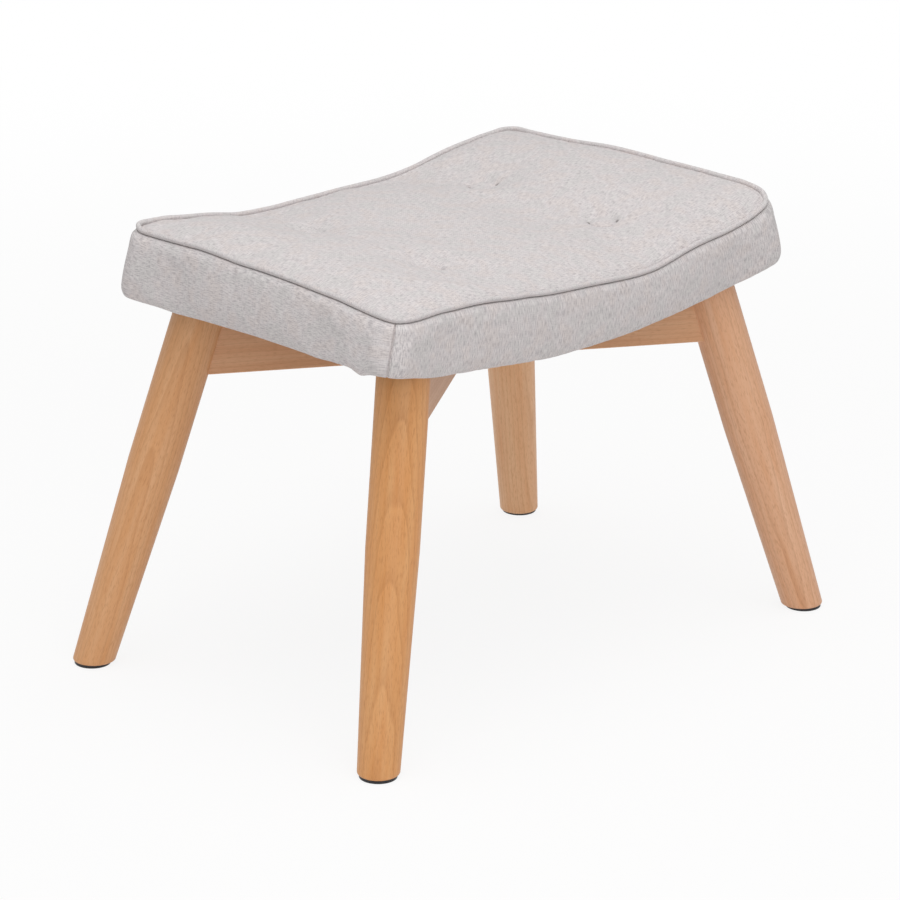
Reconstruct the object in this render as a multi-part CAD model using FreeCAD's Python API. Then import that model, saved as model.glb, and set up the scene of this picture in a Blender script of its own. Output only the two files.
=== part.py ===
import FreeCAD, Part
import math
import os

# An upholstered footstool: a padded seat on a bent plywood board, carried by two crossed beech rails
# and four round splayed legs. Units are millimetres. The long side lies along X, and the origin is on
# the floor under the middle of the seat.

V = FreeCAD.Vector
UP = V(0, 0, 1)

# Driving dimensions of the base
foot_reach = 345.0
plan_angle = 33.0
splay = 17.5
leg_diameter = 48.0
foot_diameter = 38.0
leg_taper_length = 200.0
foot_edge_round = 2.0
leg_top_gap = 1.0
glide_thickness = 3.0
glide_margin = 2.0
glide_edge_round = 0.8
nail_diameter = 2.4
nail_length = 18.0
nail_head_diameter = 6.5
nail_head_thickness = 1.0
rail_underside = 278.0
rail_thickness = 24.0
rail_edge_round = 1.5
halving_clearance = 0.1
dowel_diameter = 10.0
dowel_length = 46.0
dowel_end_gap = 1.0
dowel_spacing = 28.0
dowel_end_chamfer = 1.0

# Driving dimensions of the board and of what is fixed to it
board_height = 331.0
board_length = 506.0
board_depth = 325.0
board_thickness = 12.0
board_bend_radius = 1340.0
board_corner_radius = 20.0
board_edge_round = 3.0
bolt_reach = 172.0
bolt_diameter = 6.0
bolt_length = 50.0
bolt_head_diameter = 10.0
bolt_head_height = 6.0
bolt_socket_width = 5.0
bolt_socket_depth = 3.0
bolt_sink_depth = 22.0
bolt_sink_clearance = 1.0
bolt_clearance = 0.25
washer_diameter = 14.0
washer_thickness = 1.5
tee_nut_flange_diameter = 19.0
tee_nut_flange_thickness = 1.2
tee_nut_barrel_diameter = 8.0
tee_nut_barrel_length = 9.0

# Driving dimensions of the padding and its cover
side_wrap = 6.0
boxing_height = 56.0
side_bulge = 5.0
roll_height = 12.0
roll_run = 9.0
corner_radius = 16.0
corner_ease = 0.1
crown_height = 14.0
end_crown = 4.5
crown_run = 30.0
cover_thickness = 1.2
cover_turn_under = 24.0
piping_diameter = 5.0
tuft_spacing_x = 242.0
tuft_spacing_y = 153.0
tuft_radius = 34.0
tuft_depth = 6.0
button_diameter = 25.0
button_rim = 1.5
button_dome = 4.0
twine_diameter = 2.0
twine_clearance = 0.2
knot_diameter = 4.5
tuft_washer_diameter = 15.0
tuft_washer_thickness = 1.5
tuft_washer_clearance = 0.5
dust_cover_thickness = 0.6
dust_cover_inset = 4.0
soft_clearance = 0.3
staple_width = 10.0
staple_leg = 6.0
staple_wire_width = 1.0
staple_wire_thickness = 0.6
staple_spacing = 60.0
staple_inset = 8.0

# Sizes that follow from them
leg_radius = leg_diameter / 2
foot_radius = foot_diameter / 2
glide_radius = foot_radius - glide_margin
splay_rad = math.radians(splay)
plan_rad = math.radians(plan_angle)
half_length = board_length / 2
half_depth = board_depth / 2
bend_centre = V(0, 0, board_height + board_bend_radius)
end_angle = math.asin(half_length / board_bend_radius) + side_wrap / board_bend_radius
end_slope = math.tan(end_angle)
end_run = end_angle * board_bend_radius
seam_y = half_depth + side_wrap
seam_low = boxing_height - cover_thickness
under_cover = cover_thickness + dust_cover_thickness
under_cloth = soft_clearance + dust_cover_thickness
reach = foot_reach + leg_diameter + board_length
tall = board_height + boxing_height + crown_height + board_length
leg_turns = {"front_left": 180 + plan_angle, "front_right": -plan_angle,
             "back_left": 180 - plan_angle, "back_right": plan_angle}


def saddle(x, lift=0.0):
    """Height of the board's curved underside at x, or of a surface that lies lift above it."""
    radius = board_bend_radius - lift
    return bend_centre.z - math.sqrt(radius ** 2 - x ** 2)


def above_saddle(lift):
    """Everything above the curved surface that lies lift above the board's underside."""
    side = half_length + boxing_height
    left = V(-side, -reach, saddle(side, lift))
    low = V(0, -reach, saddle(0, lift))
    right = V(side, -reach, saddle(side, lift))
    roof = [right, V(side, -reach, tall), V(-side, -reach, tall), left]
    edges = [Part.Arc(left, low, right).toShape()]
    edges += [Part.LineSegment(a, b).toShape() for a, b in zip(roof, roof[1:])]
    return Part.Face(Part.Wire(edges)).extrude(V(0, 2 * reach, 0))


def saddle_sheet(low, high):
    """A curved layer between two surfaces parallel to the board's underside."""
    return above_saddle(low).cut(above_saddle(high))


def rounded_block(half_x, half_y, radius, bottom=0.0, top=tall):
    """An upright block on the origin with four rounded corners."""
    block = Part.makeBox(2 * half_x, 2 * half_y, top - bottom, V(-half_x, -half_y, bottom))
    upright = [e for e in block.Edges if abs(e.Vertexes[0].Z - e.Vertexes[1].Z) > 0.5 * (top - bottom)]
    return block.makeFillet(radius, upright)


def turned(shape, angle):
    """A copy of a shape turned about the upright centre line."""
    copy = shape.copy()
    copy.rotate(V(0, 0, 0), UP, angle)
    return copy


def export(name, shapes):
    """Write one sub-part: a single solid, or a group of separate ones."""
    solids = [solid for shape in shapes for solid in shape.Solids]
    whole = solids[0] if len(solids) == 1 else Part.makeCompound(solids)
    if not whole.isValid():
        print("not valid:", name)
    whole.exportStep("parts/" + name + ".step")
    print(name, len(solids), round(sum(solid.Volume for solid in solids)))


# The legs. Each is made leaning in the XZ plane, then turned to its corner.

def leg_centre(z):
    """Distance of the leg's centre line from the middle of the footstool at height z."""
    return foot_reach - z * math.tan(splay_rad)


def flat_distance():
    """Distance of the flat for the rail from the leg's centre line: as wide as the rail is thick."""
    return math.sqrt(leg_radius ** 2 - (rail_thickness / 2) ** 2)


def rail_end(z):
    """Distance of the rail's sloping end from the middle of the footstool at height z."""
    return leg_centre(z) - flat_distance() / math.cos(splay_rad)


def inner_side():
    """Everything on the inner side of the flat, above the rail's underside."""
    low = rail_underside
    high = tall
    corners = [V(-reach, -reach, low), V(rail_end(low), -reach, low), V(rail_end(high), -reach, high),
               V(-reach, -reach, high), V(-reach, -reach, low)]
    return Part.Face(Part.makePolygon(corners)).extrude(V(0, 2 * reach, 0))


def dowel_heights():
    """Heights of the two dowels, spaced about the middle of the rail's end."""
    middle = (rail_underside + saddle(rail_end(board_height) * math.cos(plan_rad))) / 2
    return [middle - dowel_spacing / 2, middle + dowel_spacing / 2]


def dowel_at(z, extra):
    """A level dowel half in the rail and half in the leg, or its hole, longer by extra at each end."""
    start = rail_end(z) - dowel_length / 2 - extra
    return Part.makeCylinder(dowel_diameter / 2, dowel_length + 2 * extra, V(start, 0, z), V(1, 0, 0))


def make_leg():
    """A round beech leg, uncut above: a straight shank that tapers to the foot, with a flat for the rail."""
    below = leg_diameter
    taper = (leg_radius - foot_radius) / leg_taper_length
    low_edge = V(foot_radius - taper * below, 0, -below)
    outline = [V(0, 0, -below), low_edge, V(leg_radius, 0, leg_taper_length), V(leg_radius, 0, tall),
               V(0, 0, tall), V(0, 0, -below)]
    leg = Part.Face(Part.makePolygon(outline)).revolve(V(0, 0, 0), UP, 360)
    leg.rotate(V(0, 0, 0), V(0, 1, 0), -splay)
    leg.translate(V(foot_reach, 0, 0))
    above_foot = Part.makeBox(2 * reach, 2 * reach, tall, V(-reach, -reach, glide_thickness))
    leg = leg.common(above_foot)
    foot_edge = [e for e in leg.Edges if abs(e.BoundBox.ZMax - glide_thickness) < 0.01]
    leg = leg.makeFillet(foot_edge_round, foot_edge)
    leg = leg.cut(inner_side())
    for z in dowel_heights():
        leg = leg.cut(dowel_at(z, dowel_end_gap))
    pilot = Part.makeCylinder(nail_diameter / 2, nail_length, V(foot_reach, 0, 0))
    return leg.cut(pilot)


def make_glide():
    """A plastic disc under the foot, with a sunk hole for its nail."""
    glide = Part.makeCylinder(glide_radius, glide_thickness, V(foot_reach, 0, 0))
    rim = [e for e in glide.Edges if e.BoundBox.ZMax < 0.01]
    glide = glide.makeFillet(glide_edge_round, rim)
    return glide.cut([make_glide_nail(), nail_sink()])


def make_glide_nail():
    """The nail that holds a glide: its head is sunk in the disc."""
    head_top = 2 * nail_head_thickness
    sunk = V(foot_reach, 0, nail_head_thickness)
    head = Part.makeCylinder(nail_head_diameter / 2, nail_head_thickness, sunk)
    shank = Part.makeCylinder(nail_diameter / 2, nail_length - head_top, V(foot_reach, 0, head_top))
    return head.fuse(shank).removeSplitter()


def nail_sink():
    """The open bore under the nail's head."""
    return Part.makeCylinder(nail_head_diameter / 2, nail_head_thickness, V(foot_reach, 0, 0))


def make_dowel(z):
    """A beech dowel with chamfered ends."""
    dowel = dowel_at(z, 0.0)
    rims = [e for e in dowel.Edges if len(e.Vertexes) == 1]
    return dowel.makeChamfer(dowel_end_chamfer, rims)


# The cross of rails, and the bolts that hold the board to it.

def bolt_seat():
    """Height of the step in the rail that the washer bears on."""
    return rail_underside + bolt_sink_depth


def bolt_hole():
    """The stepped hole for a bolt, from under the rail up through it."""
    sink_radius = washer_diameter / 2 + bolt_sink_clearance
    sink = Part.makeCylinder(sink_radius, bolt_sink_depth, V(bolt_reach, 0, rail_underside))
    return sink.fuse(shank_hole())


def shank_hole():
    """The plain hole for a bolt's shank."""
    radius = bolt_diameter / 2 + bolt_clearance
    return Part.makeCylinder(radius, bolt_length + bolt_clearance, V(bolt_reach, 0, bolt_seat()))


def make_plank():
    """A straight rail from leg to leg, with its ends cut to the slope of the legs and holes bored."""
    corners = [(-1, rail_underside), (1, rail_underside), (1, tall), (-1, tall), (-1, rail_underside)]
    outline = [V(side * rail_end(z), -rail_thickness / 2, z) for side, z in corners]
    plank = Part.Face(Part.makePolygon(outline)).extrude(V(0, rail_thickness, 0))
    lower_edges = [e for e in plank.Edges if abs(e.BoundBox.ZMax - rail_underside) < 0.01
                   and e.BoundBox.XLength > rail_thickness]
    plank = plank.makeFillet(rail_edge_round, lower_edges)
    for turn in (0, 180):
        plank = plank.cut(turned(bolt_hole(), turn))
        for z in dowel_heights():
            plank = plank.cut(turned(dowel_at(z, dowel_end_gap), turn))
    return plank


def make_rails():
    """Two crossed rails, halved over each other in the middle and cut to the board's curve above."""
    middle = (rail_underside + saddle(0)) / 2
    roof = above_saddle(-under_cloth)
    upper = turned(make_plank(), plan_angle).cut(roof)
    lower = turned(make_plank(), -plan_angle).cut(roof)
    slot = rail_thickness / 2 + halving_clearance
    notch = Part.makeBox(2 * reach, 2 * slot, tall, V(-reach, -slot, 0))
    lower_half = Part.makeBox(2 * reach, 2 * reach, middle, V(-reach, -reach, 0))
    notch_below = turned(notch.common(lower_half), -plan_angle)
    notch_above = turned(notch.cut(lower_half), plan_angle)
    return upper.cut(notch_below), lower.cut(notch_above)


def make_bolt():
    """A socket head bolt."""
    head_low = bolt_seat() - washer_thickness - bolt_head_height
    head = Part.makeCylinder(bolt_head_diameter / 2, bolt_head_height, V(bolt_reach, 0, head_low))
    shank_low = head_low + bolt_head_height
    shank = Part.makeCylinder(bolt_diameter / 2, bolt_length, V(bolt_reach, 0, shank_low))
    corner_radius = bolt_socket_width / math.sqrt(3)
    corners = [V(bolt_reach + corner_radius * math.cos(math.radians(60 * k)),
                 corner_radius * math.sin(math.radians(60 * k)), head_low) for k in range(7)]
    socket = Part.Face(Part.makePolygon(corners)).extrude(V(0, 0, bolt_socket_depth))
    return head.fuse(shank).removeSplitter().cut(socket)


def make_bolt_washer():
    """The flat washer between a bolt's head and the rail."""
    low = bolt_seat() - washer_thickness
    outer = Part.makeCylinder(washer_diameter / 2, washer_thickness, V(bolt_reach, 0, low))
    inner = Part.makeCylinder(bolt_diameter / 2 + bolt_clearance, washer_thickness, V(bolt_reach, 0, low))
    return outer.cut(inner)


def tee_nut_envelope():
    """The outer form of a tee nut, set into the top of the board."""
    # The flange sits level and just below the lowest part of the board's curved top under it.
    inner_x = (bolt_reach - tee_nut_flange_diameter / 2) * math.cos(plan_rad)
    top = saddle(inner_x, board_thickness)
    flange = Part.makeCylinder(tee_nut_flange_diameter / 2, tee_nut_flange_thickness,
                               V(bolt_reach, 0, top - tee_nut_flange_thickness))
    barrel = Part.makeCylinder(tee_nut_barrel_diameter / 2, tee_nut_barrel_length,
                               V(bolt_reach, 0, top - tee_nut_barrel_length))
    return flange.fuse(barrel).removeSplitter()


def make_tee_nut():
    """A tee nut: a flange and a barrel that the bolt screws into."""
    return tee_nut_envelope().cut(shank_hole())


# The padding is shaped as if it were flat, then carried round the bend of the board. A height h is
# taken from the board's underside, and an angle along the bend from the bend's centre.

def bent(shape, angle):
    """A copy of a shape made over the middle of the board, carried round its bend by angle."""
    copy = shape.copy()
    copy.rotate(bend_centre, V(0, 1, 0), -math.degrees(angle))
    return copy


def over_board(x, y, h):
    """A point before bending: x along the board, y across it and h above its underside."""
    return V(x, y, board_height + h)


def bent_point(x, y, h, angle):
    """The same point carried round the bend by angle."""
    return bent(Part.Vertex(over_board(x, y, h)), angle).Point


def arcs_along(nodes):
    """Arcs that run through nodes of distance and slope without a corner: start, middle and end."""
    arcs = []
    rise = 0.0
    for (u0, slope0), (u1, slope1) in zip(nodes, nodes[1:]):
        a0 = math.atan(slope0)
        a1 = math.atan(slope1)
        radius = (u1 - u0) / (math.sin(a1) - math.sin(a0))
        points = [(u0 + radius * (math.sin(a) - math.sin(a0)), rise + radius * (math.cos(a0) - math.cos(a)))
                  for a in (a0, (a0 + a1) / 2, a1)]
        arcs.append(points)
        rise = points[-1][1]
    return arcs


def seam_nodes(run):
    """The long seam: level in the middle, a climb past the tufts, an ease and a climb to the corner."""
    return [(0.0, 0.0), (0.24 * run, 0.10 * end_slope), (0.50 * run, 0.93 * end_slope),
            (0.72 * run, 0.30 * end_slope), (run, end_slope)]


def arch_nodes():
    """The short seam, from its middle, which stands a little higher than its ends."""
    run = seam_y - corner_radius
    return [(0.0, 0.0), (0.4 * run, -2 * end_crown / run), (run, 0.0)]


def seam_end():
    """Where the long seam meets the rounding of the corner: its x, and its height square to the board."""
    climb = arcs_along(seam_nodes(1.0))[-1][-1][1]
    foot = bent_point(0, 0, 0, end_angle)
    low = board_height + seam_low
    cosine = math.cos(end_angle)
    sine = math.sin(end_angle)
    run = (foot.x * cosine + (foot.z - low) * sine - corner_radius) / (cosine + climb * sine)
    return run, (foot.x - run) * sine + (low + climb * run - foot.z) * cosine


seam_run, corner_h = seam_end()
seam_arcs = arcs_along(seam_nodes(seam_run))


def seam_rise(x):
    """How far the long seam has climbed at x."""
    nodes = seam_nodes(seam_run)
    for (start, middle, end), (node0, node1) in zip(seam_arcs, zip(nodes, nodes[1:])):
        if abs(x) <= end[0]:
            sine0 = math.sin(math.atan(node0[1]))
            radius = (end[0] - start[0]) / (math.sin(math.atan(node1[1])) - sine0)
            sine = sine0 + (abs(x) - start[0]) / radius
            return start[1] + radius * (math.sqrt(1 - sine0 ** 2) - math.sqrt(1 - sine ** 2))
    return seam_arcs[-1][-1][1]


def seam_h(angle):
    """Height of the long seam over the board's underside, square to the board, at an angle."""
    if abs(angle) * board_bend_radius >= end_run - corner_radius:
        return corner_h
    x = (board_bend_radius - boxing_height) * math.tan(abs(angle))
    for repeat in range(12):
        down = board_bend_radius - seam_low - seam_rise(x)
        x = down * math.tan(abs(angle))
    return board_bend_radius - down / math.cos(angle)


def crown_at(angle):
    """How far the middle of the padding stands over the seam: less towards the two ends."""
    past = max(0.0, abs(angle) * board_bend_radius - (end_run - crown_run))
    return crown_height - (crown_height - end_crown) * (past / crown_run) ** 2


def arc_to(start, heading, end):
    """An arc that leaves start along heading and stops at end."""
    chord = end - start
    side = chord - heading * heading.dot(chord)
    side.normalize()
    radius = chord.dot(chord) / (2 * chord.dot(side))
    centre = start + side * radius
    middle = (start - centre) + (end - centre)
    middle.normalize()
    return Part.Arc(start, centre + middle * radius, end)


def last_heading(arc):
    """The direction in which an arc arrives at its end."""
    heading = V(arc.tangent(arc.LastParameter)[0])
    heading.normalize()
    return heading


def side_arcs(inset, h_seam, place):
    """The boxing's bulging side and the roll under it, from the seam to the underside.

    place turns a distance out from the seam and a height into a point.
    """
    h_low = -cover_thickness
    seam = place(-inset, h_seam - inset)
    bulge = place(side_bulge - inset, (h_seam + h_low) / 2)
    roll_start = place(0.6 * side_bulge - inset, h_low + roll_height)
    roll_end = place(0.6 * side_bulge - inset - roll_run, h_low)
    side = Part.Arc(seam, bulge, roll_start)
    roll = arc_to(roll_start, last_heading(side), roll_end)
    return [side, roll]


def pad_section(angle, inset):
    """The padding's closed outline at an angle: the cover's outside, or inset from it."""
    h_seam = seam_h(angle)
    crown = crown_at(angle)
    shoulder = over_board(0, seam_y - inset - crown_run, h_seam - inset + 0.75 * crown)
    opposite = V(0, -shoulder.y, shoulder.z)
    top = Part.Arc(opposite, over_board(0, 0, h_seam - inset + crown), shoulder)
    sides = side_arcs(inset, h_seam, lambda out, h: over_board(0, seam_y + out, h))
    edge = arc_to(shoulder, last_heading(top), sides[0].StartPoint)
    half = [curve.toShape() for curve in [edge] + sides]
    other = [curve.mirror(V(0, 0, 0), V(0, 1, 0)) for curve in half]
    underside = Part.LineSegment(half[-1].Vertexes[-1].Point, other[-1].Vertexes[-1].Point).toShape()
    outline = Part.Wire(Part.__sortEdges__([top.toShape()] + half + [underside] + other))
    return bent(outline, angle)


def pad_angles():
    """Where the outlines stand along the bend: closer where the seam bends and at the ends."""
    shares = [0.0, 0.14, 0.27, 0.38, 0.50, 0.61, 0.72, 0.82]
    runs = [share * end_run for share in shares]
    runs += [end_run - crown_run, end_run - corner_radius, end_run - 0.5 * corner_radius, end_run,
             end_run + side_bulge + cover_thickness]
    right = [run / board_bend_radius for run in runs]
    return [-angle for angle in reversed(right[1:])] + right


def end_limit(inset):
    """Everything on the inner side of the right hand end of the padding."""
    sides = side_arcs(inset, corner_h, lambda out, h: over_board(out, -reach, h))
    seam = sides[0].StartPoint
    under = sides[1].EndPoint
    corners = [under, V(under.x, -reach, -reach), V(-2 * reach, -reach, -reach), V(-2 * reach, -reach, tall),
               V(seam.x, -reach, tall), seam]
    edges = [curve.toShape() for curve in sides]
    edges += [Part.LineSegment(a, b).toShape() for a, b in zip(corners, corners[1:])]
    limit = Part.Face(Part.Wire(edges)).extrude(V(0, 2 * reach, 0))
    return bent(limit, end_angle)


def corner_waste(inset):
    """What is trimmed off the back right corner to round it, bulge and roll included.

    The rounding stands a little outside the sides, so that it meets them along clean edges.
    """
    rounding = corner_radius + corner_ease
    sides = side_arcs(inset, corner_h, lambda out, h: over_board(rounding + out, 0, h))
    seam = sides[0].StartPoint
    under = sides[1].EndPoint
    corners = [under, V(under.x, 0, 0), V(0, 0, 0), V(0, 0, tall), V(seam.x, 0, tall), seam]
    edges = [curve.toShape() for curve in sides]
    edges += [Part.LineSegment(a, b).toShape() for a, b in zip(corners, corners[1:])]
    kept = Part.Face(Part.Wire(edges)).revolve(V(0, 0, 0), UP, 360)
    wide = corner_radius + 4 * side_bulge
    waste = Part.makeBox(wide, wide, tall).cut(kept)
    waste.translate(V(-corner_radius, seam_y - corner_radius, 0))
    return bent(waste, end_angle)


def mirrored_ends(shape):
    """A shape at the back right corner, and its three mirror images."""
    left = shape.mirror(V(0, 0, 0), V(1, 0, 0))
    return [shape, left] + [half.mirror(V(0, 0, 0), V(0, 1, 0)) for half in (shape, left)]


# The tufts: in each one a button is drawn down by twine to a washer under the board.

tuft_angle = tuft_spacing_x / 2 / board_bend_radius
tuft_y = tuft_spacing_y / 2
tuft_ball = (tuft_radius ** 2 + tuft_depth ** 2) / (2 * tuft_depth)
washer_recess = tuft_washer_thickness + knot_diameter
tuft_corners = {"front_left": (-tuft_angle, -tuft_y), "front_right": (tuft_angle, -tuft_y),
                "back_left": (-tuft_angle, tuft_y), "back_right": (tuft_angle, tuft_y)}


def tuft_floor():
    """Height over the board's underside of the lowest point of a dimple."""
    shoulder_y = seam_y - crown_run
    drop = 0.25 * crown_at(tuft_angle)
    radius = (shoulder_y ** 2 + drop ** 2) / (2 * drop)
    crown_top = seam_h(tuft_angle) + crown_at(tuft_angle)
    return crown_top - radius + math.sqrt(radius ** 2 - tuft_y ** 2) - tuft_depth


def at_tufts(shape):
    """A shape made over the middle of the board, copied to the four tufts."""
    copies = []
    for angle, y in tuft_corners.values():
        copy = bent(shape, angle)
        copy.translate(V(0, y, 0))
        copies.append(copy)
    return copies


def dimple(inset):
    """The round hollow of a tuft."""
    return Part.makeSphere(tuft_ball + inset, over_board(0, 0, tuft_floor() + tuft_ball))


def column(radius, h_low, h_high):
    """A round column square to the board."""
    return Part.makeCylinder(radius, h_high - h_low, over_board(0, 0, h_low))


def make_button():
    """A covered button: a shallow dome whose back lies on the floor of the dimple."""
    radius = button_diameter / 2
    ball = (radius ** 2 + button_dome ** 2) / (2 * button_dome)
    rim_h = tuft_floor() + tuft_ball - math.sqrt(tuft_ball ** 2 - radius ** 2) + button_rim
    dome = Part.makeSphere(ball, over_board(0, 0, rim_h + button_dome - ball))
    body = column(radius, tuft_floor() - button_rim, rim_h + button_dome).common(dome)
    return body.common(dimple(0.0))


def make_twine():
    """The twine from a button down to its knot."""
    knot = Part.makeSphere(knot_diameter / 2, over_board(0, 0, knot_diameter / 2))
    return column(twine_diameter / 2, knot_diameter / 2, tuft_floor()).fuse(knot).removeSplitter()


def make_tuft_washer():
    """The washer that a knot bears on, let into the underside of the board."""
    disc = column(tuft_washer_diameter / 2, knot_diameter, washer_recess)
    return disc.cut(twine_hole())


def twine_hole():
    """The hole that a twine passes through."""
    return column(twine_diameter / 2 + twine_clearance, -boxing_height, tuft_floor() + tuft_depth)


def tuft_board_hole():
    """The hole in the board for a twine, with the recess for its washer."""
    recess = column(tuft_washer_diameter / 2 + tuft_washer_clearance, -boxing_height, washer_recess)
    return recess.fuse(twine_hole())


# The padding, the board in it and the cover over it.

def make_pad_form(inset):
    """The padding's whole form with its dimples: the cover's outside, or inset from it."""
    form = Part.makeLoft([pad_section(angle, inset) for angle in pad_angles()], True, False)
    limit = end_limit(inset)
    form = form.common(limit).common(limit.mirror(V(0, 0, 0), V(1, 0, 0)))
    for waste in mirrored_ends(corner_waste(inset)):
        form = form.cut(waste)
    for hollow in at_tufts(dimple(inset)):
        form = form.cut(hollow)
    return form


def upper_region():
    """Everything above the top seam, which arches over the two short sides."""
    wires = []
    wide = seam_y + 3 * side_bulge
    radius = (seam_y ** 2 + end_crown ** 2) / (2 * end_crown)
    for angle in pad_angles():
        top = seam_h(angle) + end_crown
        rim = top - radius + math.sqrt(radius ** 2 - wide ** 2)
        arch = Part.Arc(over_board(0, -wide, rim), over_board(0, 0, top), over_board(0, wide, rim)).toShape()
        corners = [over_board(0, wide, rim), over_board(0, wide, 2 * top), over_board(0, -wide, 2 * top),
                   over_board(0, -wide, rim)]
        sides = [Part.LineSegment(a, b).toShape() for a, b in zip(corners, corners[1:])]
        wires.append(bent(Part.Wire([arch] + sides), angle))
    return Part.makeLoft(wires, True, False)


def piping_path():
    """The line of the top seam, all the way round, from the middle of the back."""
    back = []
    for start, middle, end in seam_arcs:
        points = [V(x, seam_y, board_height + seam_low + rise) for x, rise in (start, middle, end)]
        back.append(Part.Arc(*points).toShape())
    turn = corner_radius * math.sqrt(0.5)
    corner_points = [(-corner_radius, seam_y), (turn - corner_radius, seam_y - corner_radius + turn),
                     (0, seam_y - corner_radius)]
    points = [bent_point(x, y, corner_h, end_angle) for x, y in corner_points]
    corner = [Part.Arc(*points).toShape()]
    short = []
    arch_arcs = arcs_along(arch_nodes())
    arch = -arch_arcs[-1][-1][1]
    for start, middle, end in reversed(arch_arcs):
        points = [bent_point(0, y, corner_h + arch + rise, end_angle) for y, rise in (end, middle, start)]
        short.append(Part.Arc(*points).toShape())
    quarter = back + corner + short
    edges = []
    for edge in quarter:
        left = edge.mirror(V(0, 0, 0), V(1, 0, 0))
        edges += [edge, left, edge.mirror(V(0, 0, 0), V(0, 1, 0)), left.mirror(V(0, 0, 0), V(0, 1, 0))]
    return Part.Wire(Part.__sortEdges__(edges))


def make_piping(around=0.0):
    """The covered cord in the top seam: one round tube along the seam, or the room around it."""
    path = piping_path()
    start = path.Edges[0]
    point = start.valueAt(start.FirstParameter)
    heading = start.tangentAt(start.FirstParameter)
    ring = Part.Wire(Part.Circle(point, heading, piping_diameter / 2 + around).toShape())
    return path.makePipeShell([ring], True, False)


def board_plan(inset, lift_low, lift_high):
    """A layer parallel to the board with the board's outline, or one inset from it."""
    plan = rounded_block(half_length - inset, half_depth - inset, board_corner_radius - inset)
    return saddle_sheet(lift_low, lift_high).common(plan)


def make_board():
    """The bent plywood board, with its edges rounded and its holes bored."""
    board = board_plan(0.0, 0.0, board_thickness)
    level = board_thickness / 2
    rims = [e for e in board.Edges if e.BoundBox.ZLength < level or e.BoundBox.XLength > half_length]
    return board.makeFillet(board_edge_round, rims)


def staple(along_y):
    """A staple driven up through the cloths into the board: its crown lies along X, or along Y."""
    low = -under_cover - staple_wire_thickness
    wide = staple_width
    crown = Part.makeBox(wide, staple_wire_width, staple_wire_thickness,
                         over_board(-wide / 2, -staple_wire_width / 2, low))
    leg = Part.makeBox(staple_wire_thickness, staple_wire_width, staple_leg,
                       over_board(-wide / 2, -staple_wire_width / 2, low))
    other = leg.copy()
    other.translate(V(wide - staple_wire_thickness, 0, 0))
    whole = crown.fuse([leg, other]).removeSplitter()
    return turned(whole, 90) if along_y else whole


def make_staples():
    """Staples in rows along the four edges of the cloth under the board."""
    inset = dust_cover_inset + staple_inset
    long_row = half_depth - inset
    short_row = (half_length - inset) / board_bend_radius
    long_steps = int(2 * (half_length - 2 * board_corner_radius) / staple_spacing)
    short_steps = int(2 * (half_depth - 2 * board_corner_radius) / staple_spacing)
    staples = []
    for k in range(long_steps + 1):
        angle = (k - long_steps / 2) * staple_spacing / board_bend_radius
        for side in (-1, 1):
            copy = bent(staple(False), angle)
            copy.translate(V(0, side * long_row, 0))
            staples.append(copy)
    for k in range(short_steps + 1):
        y = (k - short_steps / 2) * staple_spacing
        for side in (-1, 1):
            copy = bent(staple(True), side * short_row)
            copy.translate(V(0, y, 0))
            staples.append(copy)
    return staples


def underside_opening(clearance):
    """The opening in the cover under the board, inside the turned edge of the fabric."""
    turn = cover_turn_under - side_wrap - clearance
    return rounded_block(half_length - turn, half_depth - turn, board_corner_radius)


def make_dust_cover():
    """Thin black cloth under the board: flat on it in the middle, and over the fabric's turned edge."""
    cloth = board_plan(dust_cover_inset, -under_cover, -soft_clearance)
    turned_edge = saddle_sheet(-cover_thickness, 0.0).cut(underside_opening(0.0))
    below_middle = saddle_sheet(-under_cover, -under_cloth)
    below_middle = below_middle.common(underside_opening(-dust_cover_thickness))
    return cloth.cut(turned_edge).cut(below_middle)


def side_wedge(side):
    """The region of one boxing strip, bounded by planes through the corner seams."""
    far = 2 * half_length
    near = half_depth
    corner_x = bent_point(0, 0, boxing_height / 2, end_angle).x - corner_radius
    corner_y = seam_y - corner_radius
    outer = [(-corner_x - far, -corner_y - far), (corner_x + far, -corner_y - far),
             (corner_x - near, -corner_y + near), (-corner_x + near, -corner_y + near)]
    right = [(corner_x + far, -corner_y - far), (corner_x + far, corner_y + far),
             (corner_x - near, corner_y - near), (corner_x - near, -corner_y + near)]
    points = {"front": outer, "back": [(x, -y) for x, y in outer],
              "right": right, "left": [(-x, y) for x, y in right]}[side]
    corners = [V(x, y, 0) for x, y in points + points[:1]]
    return Part.Face(Part.makePolygon(corners)).extrude(V(0, 0, tall))


def largest(shape):
    """The largest solid of a shape."""
    return max(shape.Solids, key=lambda solid: solid.Volume)


def build_base():
    """Legs, glides, rails, dowels and the bolts with their washers."""
    leg = make_leg()
    glide = make_glide()
    nail = make_glide_nail()
    dowels = [make_dowel(z) for z in dowel_heights()]
    roof = above_saddle(-under_cover - leg_top_gap)
    for corner, angle in leg_turns.items():
        export("leg_" + corner, [turned(leg, angle).cut(roof)])
        export("glide_" + corner, [turned(glide, angle)])
    turns = leg_turns.values()
    export("glide_nails", [turned(nail, angle) for angle in turns])
    export("rail_dowels", [turned(dowel, angle) for angle in turns for dowel in dowels])
    upper, lower = make_rails()
    export("cross_rail_upper", [upper])
    export("cross_rail_lower", [lower])
    for name, piece in (("seat_bolts", make_bolt()), ("bolt_washers", make_bolt_washer()),
                        ("tee_nuts", make_tee_nut())):
        export(name, [turned(piece, angle) for angle in turns])


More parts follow.
